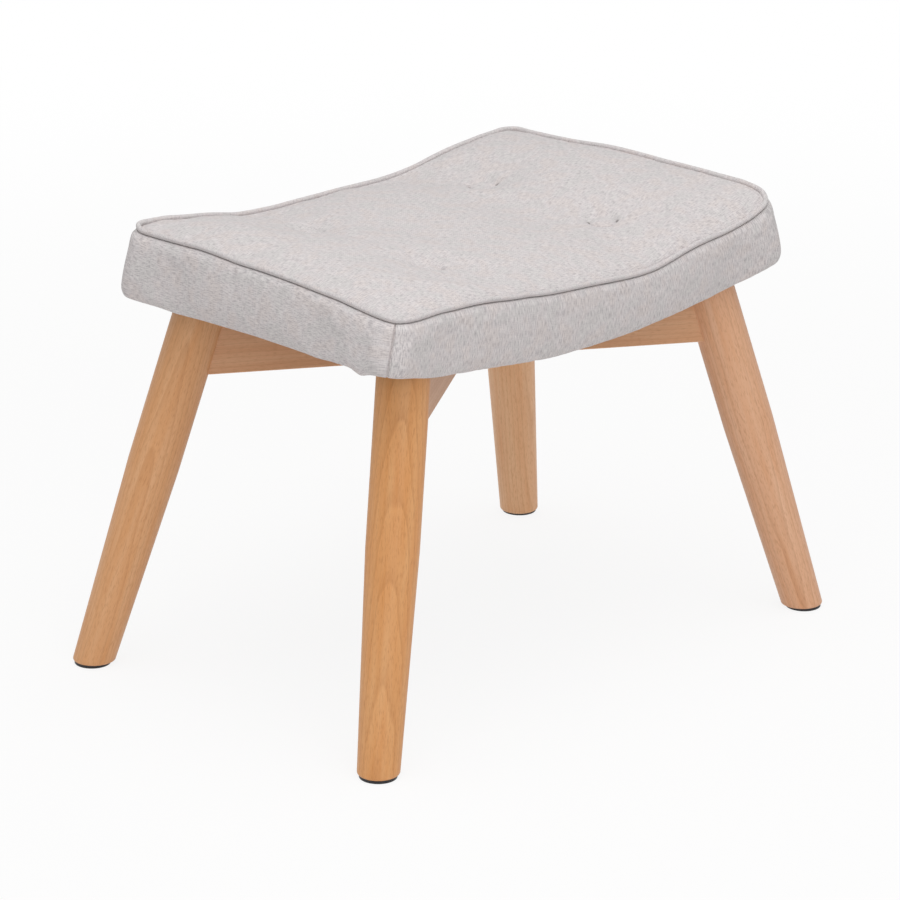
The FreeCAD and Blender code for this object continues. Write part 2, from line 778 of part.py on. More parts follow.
def build_seat():
    """The board, the padding, its cover, the tufts and the cloth underneath."""
    turns = leg_turns.values()
    bolt_holes = [turned(shank_hole(), angle) for angle in turns]
    staples = make_staples()
    outside = make_pad_form(0.0)
    inside = make_pad_form(cover_thickness).common(above_saddle(0.0))
    piping = make_piping()
    piping_room = make_piping(soft_clearance)
    board = make_board()
    nut_holes = [turned(tee_nut_envelope(), angle) for angle in turns]
    board_holes = at_tufts(tuft_board_hole()) + bolt_holes + nut_holes
    foam_holes = at_tufts(twine_hole()) + bolt_holes
    export("foam_pad", [largest(inside.cut([board, piping_room] + foam_holes))])
    export("seat_board", [board.cut(board_holes + staples)])
    shell = outside.cut([inside, piping_room])
    upper = upper_region()
    export("cover_top_panel", [largest(shell.common(upper).cut(at_tufts(twine_hole())))])
    boxing = shell.cut([upper, underside_opening(0.0)] + staples)
    for side in ("front", "back", "left", "right"):
        export("cover_side_" + side, [largest(boxing.common(side_wedge(side)))])
    export("piping", [piping])
    for corner, button in zip(tuft_corners, at_tufts(make_button())):
        export("tuft_button_" + corner, [button])
    export("tuft_twines", at_tufts(make_twine()))
    export("tuft_washers", at_tufts(make_tuft_washer()))
    export("dust_cover", [largest(make_dust_cover().cut(bolt_holes + staples))])
    export("staples", staples)


os.makedirs("parts", exist_ok=True)
build_base()
build_seat()
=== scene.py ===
import math

import bpy
import numpy as np
from mathutils import Matrix, Vector
from mathutils.kdtree import KDTree


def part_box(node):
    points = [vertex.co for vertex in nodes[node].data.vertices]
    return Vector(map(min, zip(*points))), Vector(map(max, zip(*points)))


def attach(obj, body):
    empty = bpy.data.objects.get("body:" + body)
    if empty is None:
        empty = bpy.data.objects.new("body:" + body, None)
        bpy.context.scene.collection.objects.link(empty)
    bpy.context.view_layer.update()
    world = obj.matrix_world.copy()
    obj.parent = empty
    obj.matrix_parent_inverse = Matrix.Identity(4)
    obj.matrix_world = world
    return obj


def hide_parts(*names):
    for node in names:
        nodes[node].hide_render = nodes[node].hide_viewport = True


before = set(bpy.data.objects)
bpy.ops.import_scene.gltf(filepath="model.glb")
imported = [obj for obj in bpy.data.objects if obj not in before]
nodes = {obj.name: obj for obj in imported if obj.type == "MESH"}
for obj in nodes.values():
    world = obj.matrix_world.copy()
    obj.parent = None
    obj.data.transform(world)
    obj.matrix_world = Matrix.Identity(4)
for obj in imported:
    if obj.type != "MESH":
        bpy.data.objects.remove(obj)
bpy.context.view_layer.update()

bpy.context.scene.view_settings.view_transform = "Standard"

# The camera stands off the front left corner, a little above the seat, with a long lens.
# Its place was fitted to the legs, the rails and the seams of the photographed footstool.
camera_place = Vector((-2.80417, -2.70457, 1.56098))
camera_azimuth, camera_drop, camera_roll = (math.radians(a) for a in (45.965, 19.466, 0.321))
ahead = Vector((math.sin(camera_azimuth) * math.cos(camera_drop),
                math.cos(camera_azimuth) * math.cos(camera_drop), -math.sin(camera_drop)))
level_right = Vector((math.cos(camera_azimuth), -math.sin(camera_azimuth), 0))
level_up = level_right.cross(ahead)
right = level_right * math.cos(camera_roll) + level_up * math.sin(camera_roll)
up = level_up * math.cos(camera_roll) - level_right * math.sin(camera_roll)
camera = bpy.data.objects.new("camera", bpy.data.cameras.new("camera"))
camera.matrix_world = Matrix.Translation(camera_place) @ Matrix((right, up, -ahead)).transposed().to_4x4()
camera.data.lens = 177.02
camera.data.sensor_width = 36.0
camera.data.clip_end = 60.0
bpy.context.scene.collection.objects.link(camera)
bpy.context.scene.camera = camera


# The floor is a plain white studio sweep. It is matt, keeps a soft shadow round the feet, and
# looks white to the camera and in reflections, purely so a little way off.
def linear(code):
    """An sRGB hex colour as linear RGBA."""
    parts = [int(code[i:i + 2], 16) / 255 for i in (1, 3, 5)]
    return tuple(c / 12.92 if c <= 0.04045 else ((c + 0.055) / 1.055) ** 2.4 for c in parts) + (1.0,)


def node(tree, kind, inputs=(), stops=(), **settings):
    """Adds a shader node with its settings, and gives its inputs a value or a link each."""
    made = tree.nodes.new("ShaderNode" + kind)
    for name, value in settings.items():
        setattr(made, name, value)
    for name, value in dict(inputs).items():
        if isinstance(value, bpy.types.NodeSocket):
            tree.links.new(value, made.inputs[name])
        else:
            made.inputs[name].default_value = value
    for i, (position, colour) in enumerate(stops):
        stop = made.color_ramp.elements[i] if i < 2 else made.color_ramp.elements.new(position)
        stop.position = position
        stop.color = colour
    return made


def material(name):
    """A new material with an empty tree."""
    made = bpy.data.materials.new(name)
    made.use_nodes = True
    made.node_tree.nodes.clear()
    return made, made.node_tree


def add_object(name, points, faces, uvs=None):
    """A smooth mesh object from points, faces and one UV pair for each point."""
    mesh = bpy.data.meshes.new(name)
    mesh.from_pydata([tuple(p) for p in points], [], [tuple(int(i) for i in f) for f in faces])
    mesh.polygons.foreach_set("use_smooth", [True] * len(mesh.polygons))
    if uvs is not None:
        layer = mesh.uv_layers.new(name="cloth")
        corner = np.zeros(len(mesh.loops), int)
        mesh.loops.foreach_get("vertex_index", corner)
        layer.data.foreach_set("uv", np.asarray(uvs, np.float32)[corner].ravel())
    made = bpy.data.objects.new(name, mesh)
    bpy.context.scene.collection.objects.link(made)
    return made


floor_half = 9.0
shadow_reach, white_reach, white_share = 0.5, 2.2, 0.87
sweep, tree = material("white_sweep")
rays = node(tree, "LightPath")
seen = node(tree, "Math", {0: rays.outputs["Is Camera Ray"], 1: rays.outputs["Is Glossy Ray"]},
            operation="MAXIMUM")
place = node(tree, "TexCoord")
far_off = node(tree, "VectorMath", {0: place.outputs["Object"]}, operation="LENGTH")
glare = node(tree, "MapRange", {0: far_off.outputs["Value"], 1: shadow_reach, 2: white_reach,
                                3: white_share, 4: 1.0}, interpolation_type="SMOOTHSTEP")
share = node(tree, "Math", {0: seen.outputs[0], 1: glare.outputs[0]}, operation="MULTIPLY")
paint = node(tree, "BsdfDiffuse", {"Color": linear("#f4f3f3")})
glow = node(tree, "Emission", {"Color": (1, 1, 1, 1), "Strength": 1.0})
both = node(tree, "MixShader", {0: share.outputs[0], 1: paint.outputs[0], 2: glow.outputs[0]})
node(tree, "OutputMaterial", {"Surface": both.outputs[0]})
floor = add_object("studio_floor",
                   [(-floor_half, -floor_half, 0), (floor_half, -floor_half, 0),
                    (floor_half, floor_half, 0), (-floor_half, floor_half, 0)], [(0, 1, 2, 3)])
floor.data.materials.append(sweep)

# Light: an even white studio all round, one large soft box overhead that makes the top of the
# seat a little brighter than its sides, and a weaker one in front.
studio_level, lamp_aim = 0.545, Vector((0, 0, 0.3))
world = bpy.data.worlds.new("studio")
bpy.context.scene.world = world
world.use_nodes = True
tree = world.node_tree
tree.nodes.clear()
rays = node(tree, "LightPath")
seen = node(tree, "Math", {0: rays.outputs["Is Camera Ray"], 1: rays.outputs["Is Transmission Ray"]},
            operation="MAXIMUM")
around = node(tree, "Background", {"Color": (1, 1, 1, 1), "Strength": studio_level})
white = node(tree, "Background", {"Color": (1, 1, 1, 1), "Strength": 1.0})
both = node(tree, "MixShader", {0: seen.outputs[0], 1: around.outputs[0], 2: white.outputs[0]})
node(tree, "OutputWorld", {"Surface": both.outputs[0]})
for name, spot, size, power in (("soft_box_above", (-0.25, -0.35, 2.3), 1.8, 23.0),
                                ("soft_box_front", (-1.8, -2.5, 1.5), 2.0, 14.0)):
    box = bpy.data.lights.new(name, "AREA")
    box.shape = "SQUARE"
    box.size = size
    box.energy = power
    lamp = bpy.data.objects.new(name, box)
    lamp.location = spot
    lamp.rotation_euler = (lamp_aim - lamp.location).to_track_quat("-Z", "Y").to_euler()
    bpy.context.scene.collection.objects.link(lamp)

# The glides are black moulded polypropylene discs, each nailed under a foot. They are satin,
# with the fine grain of the mould.
corners = ("front_left", "front_right", "back_left", "back_right")


def dress(name, made):
    """Gives one of the CAD model's pieces its material."""
    nodes[name].data.materials.clear()
    nodes[name].data.materials.append(made)


glide_plastic, tree = material("black_polypropylene_moulded")
place = node(tree, "TexCoord")
grain = node(tree, "TexNoise", {"Vector": place.outputs["Object"], "Scale": 1400.0, "Detail": 2.0})
worn = node(tree, "TexNoise", {"Vector": place.outputs["Object"], "Scale": 90.0, "Detail": 3.0})
shade = node(tree, "ValToRGB", {0: worn.outputs[0]},
             [(0.35, linear("#161416")), (0.75, linear("#2a272a"))])
bump = node(tree, "Bump", {"Strength": 0.3, "Distance": 0.0001, "Height": grain.outputs[0]})
body = node(tree, "BsdfPrincipled", {"Base Color": shade.outputs[0], "Roughness": 0.5, "IOR": 1.49,
                                     "Normal": bump.outputs[0]})
node(tree, "OutputMaterial", {"Surface": body.outputs[0]})
for corner in corners:
    dress("glide_" + corner, glide_plastic)

# The fittings are zinc plated steel: nails in the glides, bolts, washers and tee nuts between
# rails and board, washers for the twine, and the staples. They are bright, with a fine mottle.
zinc_steel, tree = material("zinc_plated_steel_stamped")
place = node(tree, "TexCoord")
spangle = node(tree, "TexNoise", {"Vector": place.outputs["Object"], "Scale": 700.0, "Detail": 3.0})
shade = node(tree, "ValToRGB", {0: spangle.outputs[0]},
             [(0.3, linear("#a9a9a6")), (0.7, linear("#cfcfcb"))])
gloss = node(tree, "MapRange", {0: spangle.outputs[0], 3: 0.28, 4: 0.42})
body = node(tree, "BsdfPrincipled", {"Base Color": shade.outputs[0], "Metallic": 1.0,
                                     "Roughness": gloss.outputs[0]})
node(tree, "OutputMaterial", {"Surface": body.outputs[0]})
for name in ("glide_nails", "seat_bolts", "bolt_washers", "tee_nuts", "tuft_washers", "staples"):
    dress(name, zinc_steel)


# The legs are turned from solid beech and finished with clear satin lacquer. The wood is a warm
# pinkish tan, with growth rings that make arches where the turning cuts them at a low angle, fine
# darker flecks along the grain, and a soft sheen.
def axes(along, across):
    """Turns the grain's own axes, Z along the grain, into the frame's."""
    z = Vector(along).normalized()
    y = z.cross(Vector(across)).normalized()
    return Matrix((y.cross(z), y, z)).transposed()


def beech(name, origin, grain_axes, pith, lean, ring, pale, mid, dark):
    """Lacquered beech. Its rings run round a line that passes at pith and leans against the grain."""
    wander_reach, ring_share, fleck_share = 0.006, 0.40, 0.45
    made, tree = material(name)
    place = node(tree, "TexCoord")
    along = node(tree, "Mapping", {"Vector": place.outputs["Object"], "Location": origin,
                                   "Rotation": grain_axes.to_euler()}, vector_type="TEXTURE")
    # long slow wander of the rings, drawn out along the grain
    drawn = node(tree, "Mapping", {"Vector": along.outputs[0], "Scale": (1, 1, 0.22)})
    wander = node(tree, "TexNoise", {"Vector": drawn.outputs[0], "Scale": 38.0, "Detail": 2.0})
    shift = node(tree, "VectorMath", {0: wander.outputs["Color"], 1: (0.5, 0.5, 0.5)},
                 operation="SUBTRACT")
    strong = node(tree, "VectorMath", {0: shift.outputs[0], "Scale": wander_reach}, operation="SCALE")
    moved = node(tree, "VectorMath", {0: along.outputs[0], 1: strong.outputs[0]}, operation="ADD")
    # distance from the pith line, which leans so that the rings close in arches
    pithed = node(tree, "Mapping", {"Vector": moved.outputs[0], "Location": pith, "Rotation": lean},
                  vector_type="TEXTURE")
    flat = node(tree, "VectorMath", {0: pithed.outputs[0], 1: (1, 1, 0)}, operation="MULTIPLY")
    far = node(tree, "VectorMath", {0: flat.outputs[0]}, operation="LENGTH")
    count = node(tree, "Math", {0: far.outputs["Value"], 1: ring}, operation="DIVIDE")
    turn = node(tree, "Math", {0: count.outputs[0]}, operation="FRACT")
    # late wood: a slow rise and a quick fall in each ring
    late = node(tree, "ValToRGB", {0: turn.outputs[0]},
                [(0.0, (0.25, 0.25, 0.25, 1)), (0.62, (0.4, 0.4, 0.4, 1)),
                 (0.88, (1, 1, 1, 1)), (0.97, (0.1, 0.1, 0.1, 1))])
    # flecks of ray tissue: really 0.3 mm by 2 mm, drawn 0.8 mm by 6 mm so that they show
    fine = node(tree, "Mapping", {"Vector": along.outputs[0], "Scale": (1250, 1250, 165)})
    fleck = node(tree, "TexNoise", {"Vector": fine.outputs[0], "Scale": 1.0, "Detail": 1.0})
    flecks = node(tree, "MapRange", {0: fleck.outputs[0], 1: 0.52, 2: 0.72})
    # broad streaks of heartwood colour, 6 to 12 mm wide
    wide = node(tree, "Mapping", {"Vector": along.outputs[0], "Scale": (120, 120, 7)})
    streak = node(tree, "TexNoise", {"Vector": wide.outputs[0], "Scale": 1.0, "Detail": 3.0})
    ground = node(tree, "ValToRGB", {0: streak.outputs[0]}, [(0.3, linear(mid)), (0.68, linear(pale))])
    share = node(tree, "Math", {0: late.outputs[0], 1: ring_share}, operation="MULTIPLY")
    ringed = node(tree, "Mix", {0: share.outputs[0], 6: ground.outputs[0], 7: linear(dark)},
                  data_type="RGBA")
    share = node(tree, "Math", {0: flecks.outputs[0], 1: fleck_share}, operation="MULTIPLY")
    flecked = node(tree, "Mix", {0: share.outputs[0], 6: ringed.outputs[2], 7: linear(dark)},
                   data_type="RGBA")
    rough = node(tree, "MapRange", {0: fleck.outputs[0], 3: 0.40, 4: 0.52})
    bump = node(tree, "Bump", {"Strength": 0.25, "Distance": 0.0002, "Height": fleck.outputs[0]})
    body = node(tree, "BsdfPrincipled", {"Base Color": flecked.outputs[2], "Roughness": rough.outputs[0],
                                         "IOR": 1.48, "Normal": bump.outputs[0]})
    node(tree, "OutputMaterial", {"Surface": body.outputs[0]})
    return made


foot_reach, plan_angle, splay = 0.345, math.radians(33.0), math.radians(17.5)
leg_turns = {"front_left": math.pi + plan_angle, "front_right": -plan_angle,
             "back_left": math.pi - plan_angle, "back_right": plan_angle}
leg_ring = 0.0036
# where each leg's board had its pith, how its rings lean, and its pale, middle and dark tones
leg_boards = {
    "front_left": ((-0.059, -0.012, 0.0), (-0.013, 0.064, 0.0), "#e8b078", "#de9a5b", "#ba7a43"),
    "front_right": ((-0.010, -0.090, 0.0), (0.006, 0.004, 0.0), "#ecbd9a", "#e2a97f", "#b97f56"),
    "back_left": ((0.030, 0.075, 0.0), (-0.030, 0.018, 0.0), "#e7b486", "#dfa26c", "#bd804c"),
    "back_right": ((0.020, 0.080, 0.0), (0.005, 0.006, 0.0), "#f8ca9e", "#f0b786", "#d19665")}
for corner in corners:
    outward = Vector((math.cos(leg_turns[corner]), math.sin(leg_turns[corner]), 0))
    rising = Vector((0, 0, math.cos(splay))) - outward * math.sin(splay)
    pith, lean, pale, mid, dark = leg_boards[corner]
    dress("leg_" + corner, beech("beech_turned_" + corner, outward * foot_reach, axes(rising, outward),
                                 pith, lean, leg_ring, pale, mid, dark))

# The two rails are planed beech, halved together under the middle of the seat and doweled to the
# legs. Their flat sides show straighter grain than the turned legs.
rail_middle, upright = Vector((0, 0, 0.3)), Vector((0, 0, 1))
rail_ring, dowel_ring = 0.0042, 0.002
for name, turn in (("cross_rail_upper", plan_angle), ("cross_rail_lower", -plan_angle)):
    lengthways = Vector((math.cos(turn), math.sin(turn), 0))
    dress(name, beech("beech_planed_" + name, rail_middle, axes(lengthways, upright),
                      (0.085, 0.03, 0.0), (0.012, 0.008, 0.0), rail_ring,
                      "#e4b28a", "#d9a075", "#bb8458"))
dress("rail_dowels", beech("beech_fluted_dowel", rail_middle, axes(Vector((1, 0, 0)), upright),
                           (0.02, 0.01, 0.0), (0.0, 0.0, 0.0), dowel_ring,
                           "#e6b383", "#dd9f66", "#c0824d"))

# The board is bent from beech faced plywood. Its faces show pale rotary cut grain, and its edges
# the glued layers, 1.5 mm each.
bend_radius, layer_pair, layer_share = 1.340, 0.003, 0.35
plywood, tree = material("plywood_bent_beech_faced")
place = node(tree, "TexCoord")
apart = node(tree, "SeparateXYZ", {0: place.outputs["Object"]})
squared = node(tree, "Math", {0: apart.outputs["X"], 1: 2.0}, operation="POWER")
sagged = node(tree, "Math", {0: squared.outputs[0], 1: 2 * bend_radius}, operation="DIVIDE")
depth = node(tree, "Math", {0: apart.outputs["Z"], 1: sagged.outputs[0]}, operation="SUBTRACT")
layer = node(tree, "Math", {0: depth.outputs[0], 1: layer_pair}, operation="DIVIDE")
turn = node(tree, "Math", {0: layer.outputs[0]}, operation="FRACT")
drawn = node(tree, "Mapping", {"Vector": place.outputs["Object"], "Scale": (14, 260, 60)})
figure = node(tree, "TexNoise", {"Vector": drawn.outputs[0], "Scale": 1.0, "Detail": 4.0})
face = node(tree, "ValToRGB", {0: figure.outputs[0]},
            [(0.3, linear("#c79d6f")), (0.7, linear("#dfbd93"))])
step = node(tree, "Math", {0: turn.outputs[0], 1: 0.5}, operation="GREATER_THAN")
share = node(tree, "Math", {0: step.outputs[0], 1: layer_share}, operation="MULTIPLY")
layers = node(tree, "Mix", {0: share.outputs[0], 6: face.outputs[0], 7: linear("#a8794d")},
              data_type="RGBA")
body = node(tree, "BsdfPrincipled", {"Base Color": layers.outputs[2], "Roughness": 0.62, "IOR": 1.48})
node(tree, "OutputMaterial", {"Surface": body.outputs[0]})
dress("seat_board", plywood)

# The seat's form, which the foam and the cover share. A place on it is a run along the bent
# board, a distance across it, and a height square to its underside. The top seam is level in
# the middle and climbs in one wave to each corner.
board_height = 0.331
half_board, half_across, side_wrap = 0.253, 0.1625, 0.006
boxing_height, corner_round, cover_thickness = 0.056, 0.016, 0.0012
crown, end_crown, crown_run = 0.014, 0.0045, 0.075
seam_low = boxing_height - cover_thickness
end_angle = math.asin(half_board / bend_radius) + side_wrap / bend_radius
end_run, seam_y = end_angle * bend_radius, half_across + side_wrap


def over(run, across, height):
    """Points of the seat's form, from runs along the bend, distances across and heights."""
    angle = np.asarray(run) / bend_radius
    radius = bend_radius - np.asarray(height)
    flat = np.broadcast_arrays(radius * np.sin(angle), across,
                               board_height + bend_radius - radius * np.cos(angle))
    return np.stack(flat, -1)


def climb(places, slopes, samples=800):
    """Places and heights along a line of arcs that has these slopes at these places."""
    x = np.linspace(places[0], places[-1], samples)
    sine = np.interp(x, places, np.sin(np.arctan(slopes)))
    slope = sine / np.sqrt(1 - sine ** 2)
    steps = np.diff(x) * (slope[1:] + slope[:-1]) / 2
    return x, np.concatenate([[0.0], np.cumsum(steps)])


seam_stations = [0.0, 0.24, 0.50, 0.72, 1.0]
seam_slopes = np.array([0.0, 0.10, 0.93, 0.30, 1.0]) * math.tan(end_angle)
unit_x, unit_rise = climb(seam_stations, seam_slopes)
foot = over(end_run, 0.0, 0.0)
low = board_height + seam_low
seam_half = ((foot[0] * math.cos(end_angle) + (foot[2] - low) * math.sin(end_angle) - corner_round)
             / (math.cos(end_angle) + unit_rise[-1] * math.sin(end_angle)))
corner_h = ((foot[0] - seam_half) * math.sin(end_angle)
            + (low + unit_rise[-1] * seam_half - foot[2]) * math.cos(end_angle))
down = board_height + bend_radius - low - unit_rise * seam_half
seam_runs = np.arctan2(unit_x * seam_half, down) * bend_radius
seam_heights = bend_radius - np.hypot(unit_x * seam_half, down)
arch_half = seam_y - corner_round
arch_y, arch_fall = climb([0.0, 0.4 * arch_half, arch_half], [0.0, -2 * end_crown / arch_half, 0.0])


def long_seam(run):
    """Height of the long seams over the board."""
    return np.interp(np.abs(run), seam_runs, seam_heights, right=corner_h)


def short_arch(across):
    """How far the short seams stand over the corners."""
    return np.interp(np.abs(across), arch_y, arch_fall - arch_fall[-1], right=0.0)


def seam_line(first_corner, spacing, extra=()):
    """One side's stretch of the top seam, from the middle of one corner to the next.

    Sides run anticlockwise from the front. Extra places near both ends can be asked for. Gives the
    length along the side, run, across, height, and the two parts of the outward heading.
    """
    turn = first_corner * math.pi / 2
    straight = 2 * ((end_run if first_corner % 2 == 0 else seam_y) - corner_round)
    arc = corner_round * math.pi / 4
    length = straight + 2 * arc
    s = np.linspace(0.0, length, int(round(length / spacing)) + 1)
    s = np.sort(np.concatenate([s, extra, s[-1] - np.array(extra)]))
    bend = (np.clip((arc - s) / corner_round, 0, None)
            - np.clip((s - arc - straight) / corner_round, 0, None))
    heading = turn - math.pi / 2 - bend
    along = np.clip(s - arc, 0, straight) - straight / 2
    side = np.array([math.cos(turn), math.sin(turn)])
    out = np.stack([np.cos(heading), np.sin(heading)], -1)
    depth = (seam_y if first_corner % 2 == 0 else end_run) - corner_round
    centre = along[:, None] * side + depth * np.array([math.sin(turn), -math.cos(turn)])
    flat = centre + corner_round * out
    height = np.where(np.abs(flat[:, 0]) < end_run - corner_round, long_seam(flat[:, 0]), corner_h)
    if first_corner % 2 == 1:
        height = corner_h + short_arch(flat[:, 1])
    return s, flat[:, 0], flat[:, 1], height, out


def top_height(run, across):
    """Height of the padding's crowned top over the board, before the tufts draw it down."""
    level = long_seam(run)
    past = np.clip((np.abs(run) - (end_run - crown_run)) / crown_run, 0, 1)
    share = np.abs(across) / seam_y
    profile = 0.8 * (1 - share ** 2) + 0.2 * (1 - share ** 8)
    return level + crown * profile * (1 - past ** 2) + short_arch(across) * past ** 2


# The cover is sewn and stapled by hand, so it isn't even. These are how far each side's seam
# stands over its nominal height, and how far its lower edge hangs, in millimetres, at shares of
# the side's length. The padding is fullest along the back, and the front hangs low on the right.
seam_lifts = {
    "front": [(0, -6), (0.05, -3), (0.1, 1.5), (0.25, 3.5), (0.33, 4.5), (0.4, 1.5), (0.5, -1.5),
              (0.6, -6), (0.67, -7.7), (0.75, -6), (0.88, -5), (0.95, -3), (1, 2)],
    "right": [(0, 2), (0.04, 8), (0.1, 10.5), (0.25, 9.8), (0.4, 7.4), (0.6, 7.6), (0.75, 6),
              (0.93, 5.5), (1, 6)],
    "back": [(0, 6), (0.08, 11), (0.14, 11.5), (0.25, 8.5), (0.36, 11), (0.47, 13), (0.6, 13),
             (0.68, 11.6), (0.75, 9), (0.84, 12.6), (0.92, 15), (0.97, 12.5), (1, 10)],
    "left": [(0, 10), (0.03, 7), (0.14, 6.7), (0.27, 6.4), (0.42, 1), (0.6, 0), (0.8, -0.5),
             (0.93, -4.5), (1, -6)]}
edge_drops = {
    "front": [(0, 1.5), (0.05, -1.5), (0.1, -3.7), (0.25, -4.5), (0.4, -8), (0.6, -9), (0.9, -8),
              (1, -5)],
    "right": [(0, -5), (0.15, -3), (0.5, -2), (1, -2)],
    "back": [(0, -2), (0.3, -3), (0.6, -1.5), (1, -1)],
    "left": [(0, -1), (0.2, -3.5), (0.5, -1), (0.75, -3.3), (0.87, -1.5), (0.93, -6.5), (0.965, 0),
             (1, 1.5)]}
side_names = ("front", "right", "back", "left")


def uneven(table, side, share):
    """The unevenness at these shares of a side's length, in metres, rounded between its stations."""
    samples, window = 241, 15
    places, values = zip(*table[side])
    fine = np.linspace(0, 1, samples)
    level = np.interp(fine, places, values)
    kernel = np.hanning(window)
    padded_level = np.pad(level, window // 2, mode="reflect", reflect_type="odd")
    return np.interp(share, fine, np.convolve(padded_level, kernel / kernel.sum(), "valid")) * 0.001


# The foam core is cut from a block of grey-white polyurethane foam and glued to the board. It is
# a closed crowned pad a little smaller than the cover that is drawn over it, and its cut cells
# make it matt and grainy.
tuft_run, tuft_across = 0.121, 0.0765
tufts = {"front_left": (-tuft_run, -tuft_across), "front_right": (tuft_run, -tuft_across),
         "back_left": (-tuft_run, tuft_across), "back_right": (tuft_run, tuft_across)}
tuft_depth, tuft_spread = 0.0100, 0.023
button_radius, groove_depth, groove_width = 0.0125, 0.0020, 0.0022
# the two small pinches beside each button, where the pleats of the cloth meet
pinch_reach, pinch_depth, pinch_width = 0.0133, 0.0040, 0.0019
pinch_along, pinch_across = 0.695, 0.719
pinches = [(u + way * pinch_reach * pinch_along, y - way * pinch_reach * pinch_across)
           for u, y in tufts.values() for way in (-1, 1)]


def tuft_drop(run, across):
    """How far the four tufts draw the top down."""
    drop = np.zeros(np.broadcast(run, across).shape)
    for u, y in tufts.values():
        away = np.hypot(run - u, across - y)
        drop = drop + tuft_depth / (1 + (away / tuft_spread) ** 2) ** 1.25
        drop = drop + groove_depth * np.exp(-((away - button_radius) / groove_width) ** 2)
    for u, y in pinches:
        drop = drop + pinch_depth * np.exp(-(np.hypot(run - u, across - y) / pinch_width) ** 2)
    return drop


def grid_faces(rows, columns, start=0):
    """Quads of a grid whose points are stored row by row."""
    i, j = np.meshgrid(np.arange(rows - 1), np.arange(columns - 1), indexing="ij")
    a = start + i * columns + j
    return np.stack([a, a + columns, a + columns + 1, a + 1], -1).reshape(-1, 4)


def top_grid(spacing):
    """The plan of the top: a grid of runs, distances across and lifts whose rim follows the seam."""
    sides = []
    for i, side in enumerate(side_names):
        s, u, y, _, _ = seam_line(i, spacing)
        sides.append(np.stack([u, y, uneven(seam_lifts, side, s / s[-1])], -1))
    front, right_side, back, left = sides
    back, left = back[::-1], left[::-1]
    p = np.linspace(0, 1, len(front))[None, :, None]
    q = np.linspace(0, 1, len(left))[:, None, None]
    grid = ((1 - q) * front[None] + q * back[None]
            + (1 - p) * left[:, None] + p * right_side[:, None]
            - (1 - p) * (1 - q) * front[0] - p * (1 - q) * front[-1]
            - (1 - p) * q * back[0] - p * q * back[-1])
    return grid[..., 0], grid[..., 1], grid[..., 2]


core_inset, core_spacing, core_under = 0.004, 0.006, 0.0125
shrink = 1 - core_inset / seam_y
run, across, lift = top_grid(core_spacing)
run, across = run * shrink, across * shrink
height = top_height(run, across) - tuft_drop(run, across) - core_inset
rows, columns = run.shape
upper = (over(run, across, height) + lift[..., None] * (0, 0, 1)).reshape(-1, 3)
lower = over(run, across, core_under + 0 * run).reshape(-1, 3)
count = rows * columns
rim = (list(range(columns)) + [i * columns + columns - 1 for i in range(1, rows)]
       + [(rows - 1) * columns + j for j in range(columns - 2, -1, -1)]
       + [i * columns for i in range(rows - 2, 0, -1)])
walls = [(rim[k], rim[k - 1], rim[k - 1] + count, rim[k] + count) for k in range(len(rim))]
faces = ([f[::-1] for f in grid_faces(rows, columns)]
         + [tuple(f) for f in grid_faces(rows, columns, count)] + walls)
foam = add_object("foam_core", np.concatenate([upper, lower]), faces)
foam_block, tree = material("polyurethane_foam_cut")
place = node(tree, "TexCoord")
cells = node(tree, "TexVoronoi", {"Vector": place.outputs["Object"], "Scale": 900.0})
shade = node(tree, "ValToRGB", {0: cells.outputs["Distance"]},
             [(0.1, linear("#d9d6cd")), (0.7, linear("#efece4"))])
bump = node(tree, "Bump", {"Strength": 0.6, "Distance": 0.0006, "Height": cells.outputs["Distance"]})
body = node(tree, "BsdfPrincipled", {"Base Color": shade.outputs[0], "Roughness": 0.95,
                                     "Normal": bump.outputs[0]})
node(tree, "OutputMaterial", {"Surface": body.outputs[0]})
foam.data.materials.append(foam_block)
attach(foam, "root")
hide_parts("foam_pad")


